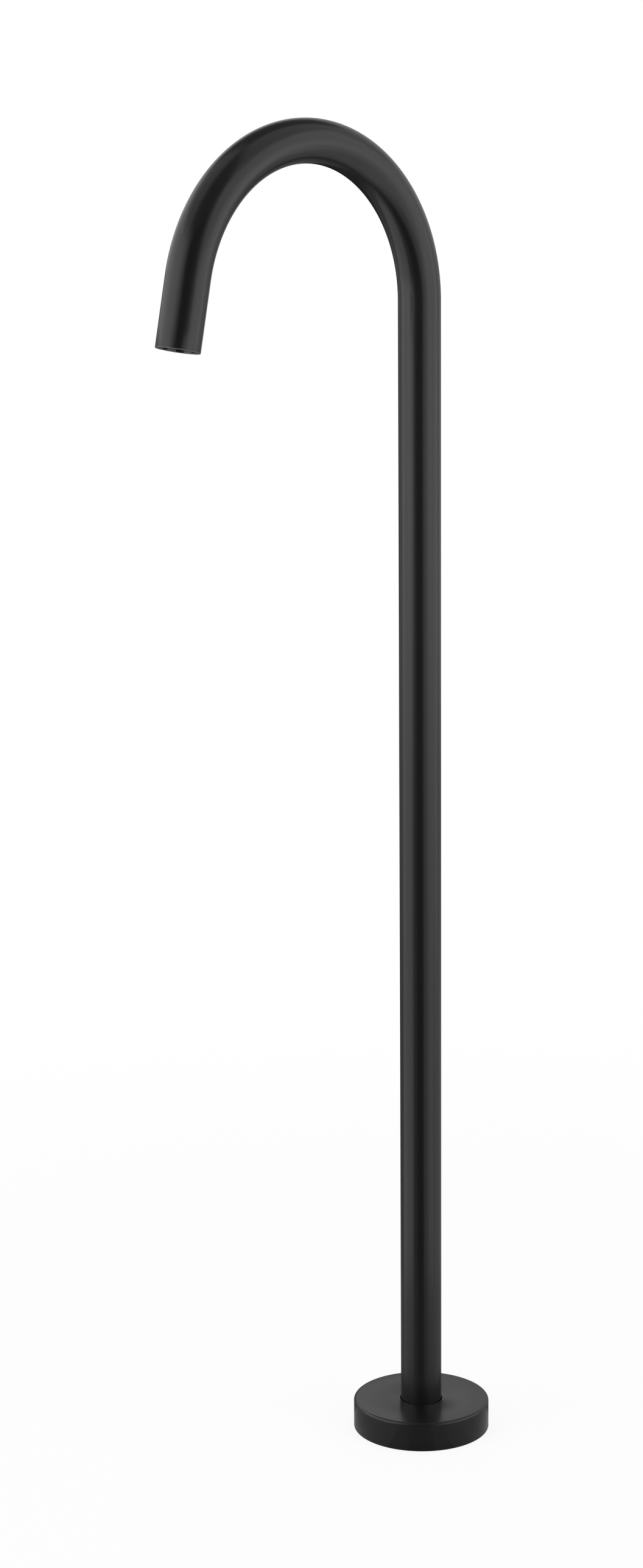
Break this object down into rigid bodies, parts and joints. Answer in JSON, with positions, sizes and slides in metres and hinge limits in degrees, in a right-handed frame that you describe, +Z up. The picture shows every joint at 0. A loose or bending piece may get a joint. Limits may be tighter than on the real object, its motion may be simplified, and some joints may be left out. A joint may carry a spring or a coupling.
{
  "type": "floor standing bath filler",
  "caption": "Black gooseneck bath filler tube that rises from the floor, with a loose round cover over its floor plate, a sealed swivel spigot and a screw-in aerator.",
  "frame": {"origin": "where the riser's axis meets the floor", "axes": "+Z up along the riser, the outlet towards -Y, X across; the part is symmetric about X = 0 apart from small parts"},
  "size_m": [0.107, 0.31, 1.0189],
  "materials": {
    "satin_black": "satin",
    "brass": "machined",
    "steel": "satin",
    "rubber": "matte",
    "acetal": "matte",
    "aerator_black": "matte"
  },
  "bodies": {
    "floor_mount": {"floor_gasket": "rubber", "floor_plate": "brass", "inlet_spigot": "brass", "spigot_locknut": "brass", "locknut_washer": "steel", "inlet_washer": "rubber", "thrust_washer": "acetal", "lower_bearing_ring": "acetal", "upper_bearing_ring": "acetal", "lower_o_ring": "rubber", "upper_o_ring": "rubber"},
    "spout": {"spout_tube": "satin_black", "foot_bush": "brass", "grub_screws": "steel", "outlet_nozzle": "satin_black"},
    "cover": {"cover_flange": "satin_black", "cover_o_ring": "rubber"},
    "aerator_seal": {"aerator_washer": "rubber"},
    "aerator": {"aerator_shell": "aerator_black", "jet_plate": "acetal", "aerator_screen": "steel", "flow_straightener": "aerator_black"}
  },
  "joints": [
    {"name": "spout_swivel", "type": "hinge", "parent": "floor_mount", "child": "spout", "pos_m": [0, 0, 0], "axis": [0, 0, 1], "continuous": true},
    {"name": "cover_slide", "type": "slide", "parent": "spout", "child": "cover", "axis": [0, 0, 1], "range_m": [0, 0.86]},
    {"name": "aerator_advance", "type": "slide", "parent": "spout", "child": "aerator_seal", "axis": [0, -0.2079, -0.9781], "range_m": [0, 0.006]},
    {"name": "aerator_unscrew", "type": "hinge", "parent": "aerator_seal", "child": "aerator", "pos_m": [0, -0.24095, 0.86133], "axis": [0, -0.2079, -0.9781], "range_deg": [0, 2160]}
  ],
  "couplings": [
    {"joint": "aerator_advance", "follows": "aerator_unscrew", "m_per_rad": 0.00015915}
  ]
}
